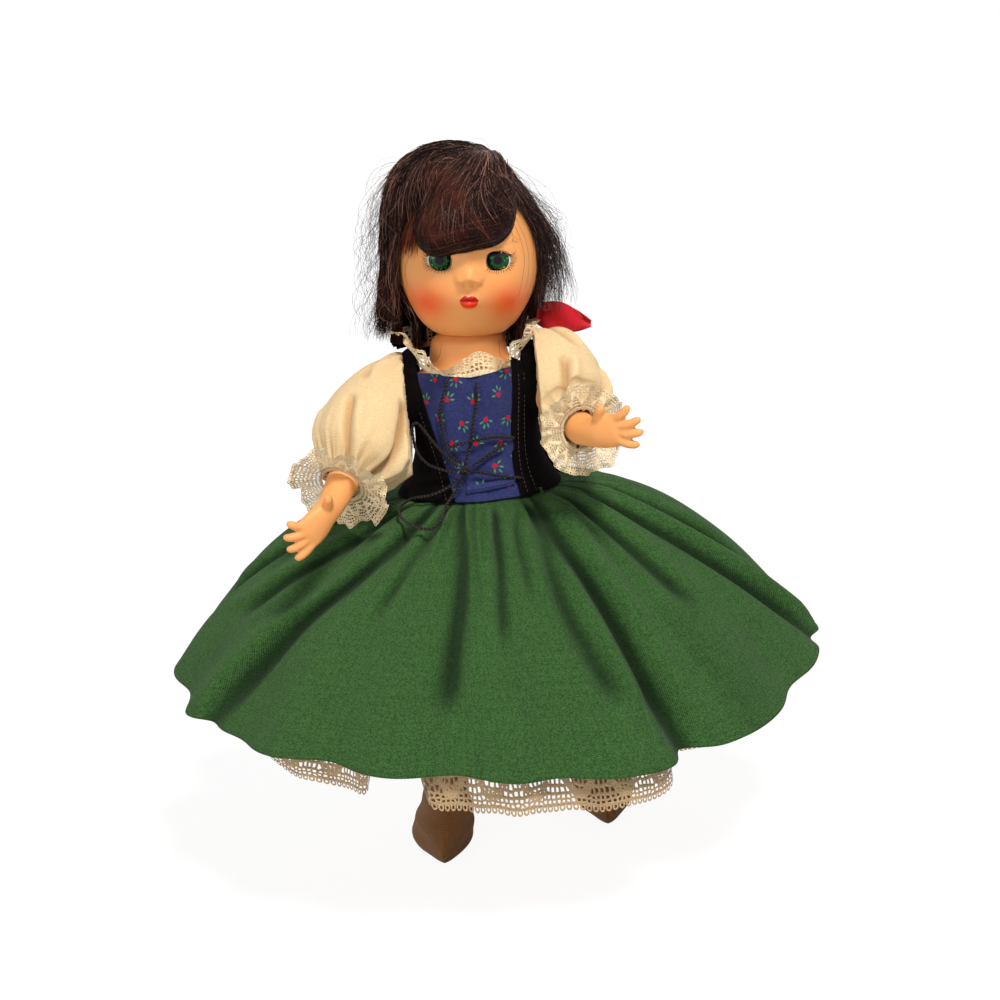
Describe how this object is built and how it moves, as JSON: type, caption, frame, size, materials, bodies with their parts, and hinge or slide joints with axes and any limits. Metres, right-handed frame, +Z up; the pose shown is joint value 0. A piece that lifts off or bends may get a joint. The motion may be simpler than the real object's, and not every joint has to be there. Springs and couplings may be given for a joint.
{
  "type": "costume doll",
  "caption": "Small strung girl doll with sleeping eyes, a wig, a laced velvet bodice, puffed sleeves, a full gathered skirt over a lace-edged petticoat, and knit stockings.",
  "frame": {"origin": "on the floor below the middle of the overall box", "axes": "+Z up, the doll faces -Y, its left side is towards +X"},
  "size_m": [0.1878, 0.1565, 0.2035],
  "materials": {
    "skin": "satin moulded",
    "eye": "clear over a painted iris",
    "lash": "fringed",
    "hair": "synthetic fibre with a soft shine",
    "cap": "net",
    "ivory_cotton": "plain weave",
    "lace": "open lace",
    "velvet": "short pile",
    "print": "printed plain weave",
    "skirt_cotton": "plain weave",
    "ribbon": "satin",
    "stocking": "fine knit",
    "cord": "twisted",
    "steel": "bright wire and sheet",
    "weight": "dull",
    "elastic": "covered elastic"
  },
  "bodies": {
    "torso": {"torso_front": "skin", "torso_back": "skin", "petticoat": "ivory_cotton", "panties": "ivory_cotton", "petticoat_lace": "lace", "collar_lace": "lace", "bodice_side_right": "velvet", "bodice_side_left": "velvet", "bodice_back_right": "velvet", "bodice_back_left": "velvet", "bodice_front_panel": "print", "skirt": "skirt_cotton", "lacing_upright_right": "cord", "lacing_upright_left": "cord", "lacing_cross_upper": "cord", "lacing_cross_lower": "cord", "lacing_waist": "cord", "bow_loop_upper": "cord", "bow_loop_lower": "cord", "lacing_knot": "cord", "snap_upper_socket": "steel", "snap_upper_stud": "steel", "snap_lower_socket": "steel", "snap_lower_stud": "steel", "arm_elastic": "elastic", "leg_elastic": "elastic", "head_elastic": "elastic"},
    "neck": {"neck_hook": "steel", "neck_washer": "steel"},
    "head": {"head_front": "skin", "head_back": "skin", "wig_cap": "cap", "hair_fringe": "hair", "hair_crown": "hair", "hair_back": "hair", "hair_lock_right": "hair", "hair_lock_left": "hair", "ribbon_knot": "ribbon", "ribbon_loop": "ribbon", "ribbon_tail": "ribbon"},
    "eyes": {"right_eye": "eye", "left_eye": "eye", "right_lashes": "lash", "left_lashes": "lash", "eye_rocker": "steel", "eye_weight": "weight"},
    "right_arm": {"right_arm": "skin", "right_arm_hook": "steel", "right_sleeve": "ivory_cotton", "right_cuff_lace": "lace"},
    "left_arm": {"left_arm": "skin", "left_arm_hook": "steel", "left_sleeve": "ivory_cotton", "left_cuff_lace": "lace"},
    "right_leg": {"right_leg": "skin", "right_leg_hook": "steel", "right_stocking": "stocking"},
    "left_leg": {"left_leg": "skin", "left_leg_hook": "steel", "left_stocking": "stocking"}
  },
  "joints": [
    {"name": "head_turn", "type": "hinge", "parent": "torso", "child": "neck", "pos_m": [0, 0, 0.146], "axis": [0, 0, 1], "range_deg": [-60, 60], "deforming": ["hair_back", "hair_lock_right", "hair_lock_left", "collar_lace"]},
    {"name": "head_nod", "type": "hinge", "parent": "neck", "child": "head", "pos_m": [0, 0, 0.146], "axis": [1, 0, 0], "range_deg": [-12, 6]},
    {"name": "eyes_sleep", "type": "hinge", "parent": "head", "child": "eyes", "pos_m": [0.0025, -0.0122, 0.17459], "axis": [0.9962, 0, -0.0872], "range_deg": [0, 38]},
    {"name": "right_shoulder_swing", "type": "hinge", "parent": "torso", "child": "right_arm", "pos_m": [-0.0175, 0, 0.1355], "axis": [-1, 0, 0], "range_deg": [-7, 70], "deforming": ["right_sleeve"]},
    {"name": "left_shoulder_swing", "type": "hinge", "parent": "torso", "child": "left_arm", "pos_m": [0.0175, 0, 0.1355], "axis": [-1, 0, 0], "range_deg": [-22, 60], "deforming": ["left_sleeve"]},
    {"name": "right_hip_swing", "type": "hinge", "parent": "torso", "child": "right_leg", "pos_m": [-0.0098, 0, 0.082], "axis": [-1, 0, 0], "range_deg": [-32, 32]},
    {"name": "left_hip_swing", "type": "hinge", "parent": "torso", "child": "left_leg", "pos_m": [0.0098, 0, 0.082], "axis": [-1, 0, 0], "range_deg": [-30, 36]}
  ]
}
